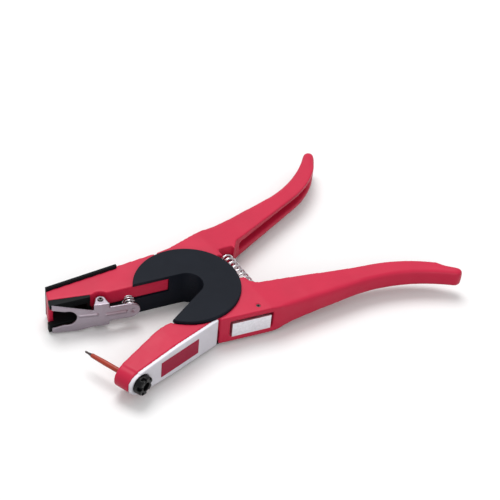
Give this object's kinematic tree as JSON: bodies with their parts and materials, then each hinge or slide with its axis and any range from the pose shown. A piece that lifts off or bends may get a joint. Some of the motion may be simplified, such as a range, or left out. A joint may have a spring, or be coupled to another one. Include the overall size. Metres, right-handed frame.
{
  "type": "ear tag applicator",
  "caption": "Hand pliers that fix ear tags to livestock: crossing levers turn round a C-shaped hub, with a spring clip on the tag jaw and a pin on the other jaw.",
  "frame": {"origin": "where the hub's axis meets the outer face of the bottom cover, on which the tool lies flat", "axes": "+Z along the hub's axis, up from the face it lies on; +X towards the handles, so the jaws and the hub's throat point to -X; +Y towards the upper handle and the tag jaw"},
  "size_m": [0.2396, 0.1526, 0.024],
  "materials": {
    "red_paint": "satin powder coat on die-cast aluminium",
    "hub_plastic": "satin moulded nylon",
    "screw_steel": "zinc plated",
    "washer_plastic": "natural acetal",
    "backing_rubber": "matt rubber",
    "liner_plastic": "moulded nylon",
    "pin_steel": "plain steel",
    "clip_steel": "stamped stainless sheet",
    "spring_steel": "bright spring wire",
    "sleeve_plastic": "hard red-brown coating",
    "nut_plastic": "glass-filled nylon",
    "insert_plastic": "moulded white plastic",
    "label_red": "bare label",
    "latch_metal": "cast zinc, plated"
  },
  "bodies": {
    "frame": {"tag_jaw_lever": "red_paint", "top_cover": "hub_plastic", "bottom_cover": "hub_plastic", "cover_screws": "screw_steel", "eye_washer": "washer_plastic", "tag_jaw_backing": "backing_rubber", "jaw_liner": "liner_plastic", "clip_hinge_pin": "pin_steel", "clip_spring": "spring_steel", "latch_pivot_pin": "pin_steel", "return_spring": "spring_steel"},
    "pin_lever": {"pin_jaw_lever": "red_paint", "applicator_pin": "pin_steel", "pin_sleeve": "sleeve_plastic", "pin_nut": "nut_plastic", "pin_jaw_insert": "insert_plastic", "label_plate": "label_red"},
    "clip": {"tag_clip": "clip_steel"},
    "latch": {"latch_lever": "latch_metal"}
  },
  "joints": [
    {"name": "jaw_pivot", "type": "hinge", "parent": "frame", "child": "pin_lever", "pos_m": [0, 0, 0.012], "axis": [0, 0, -1], "range_deg": [0, 33], "stiffness_Nm_per_rad": 1.5, "springref_deg": -20.05, "deforming": ["return_spring"]},
    {"name": "clip_hinge", "type": "hinge", "parent": "frame", "child": "clip", "pos_m": [-0.04941, 0.01833, 0.012], "axis": [0, 0, 1], "range_deg": [0, 12], "stiffness_Nm_per_rad": 0.2, "springref_deg": -17.19, "deforming": ["clip_spring"]},
    {"name": "latch_pivot", "type": "hinge", "parent": "frame", "child": "latch", "pos_m": [0.0272, -0.0356, 0.012], "axis": [0, 0, 1], "range_deg": [0, 20]}
  ]
}
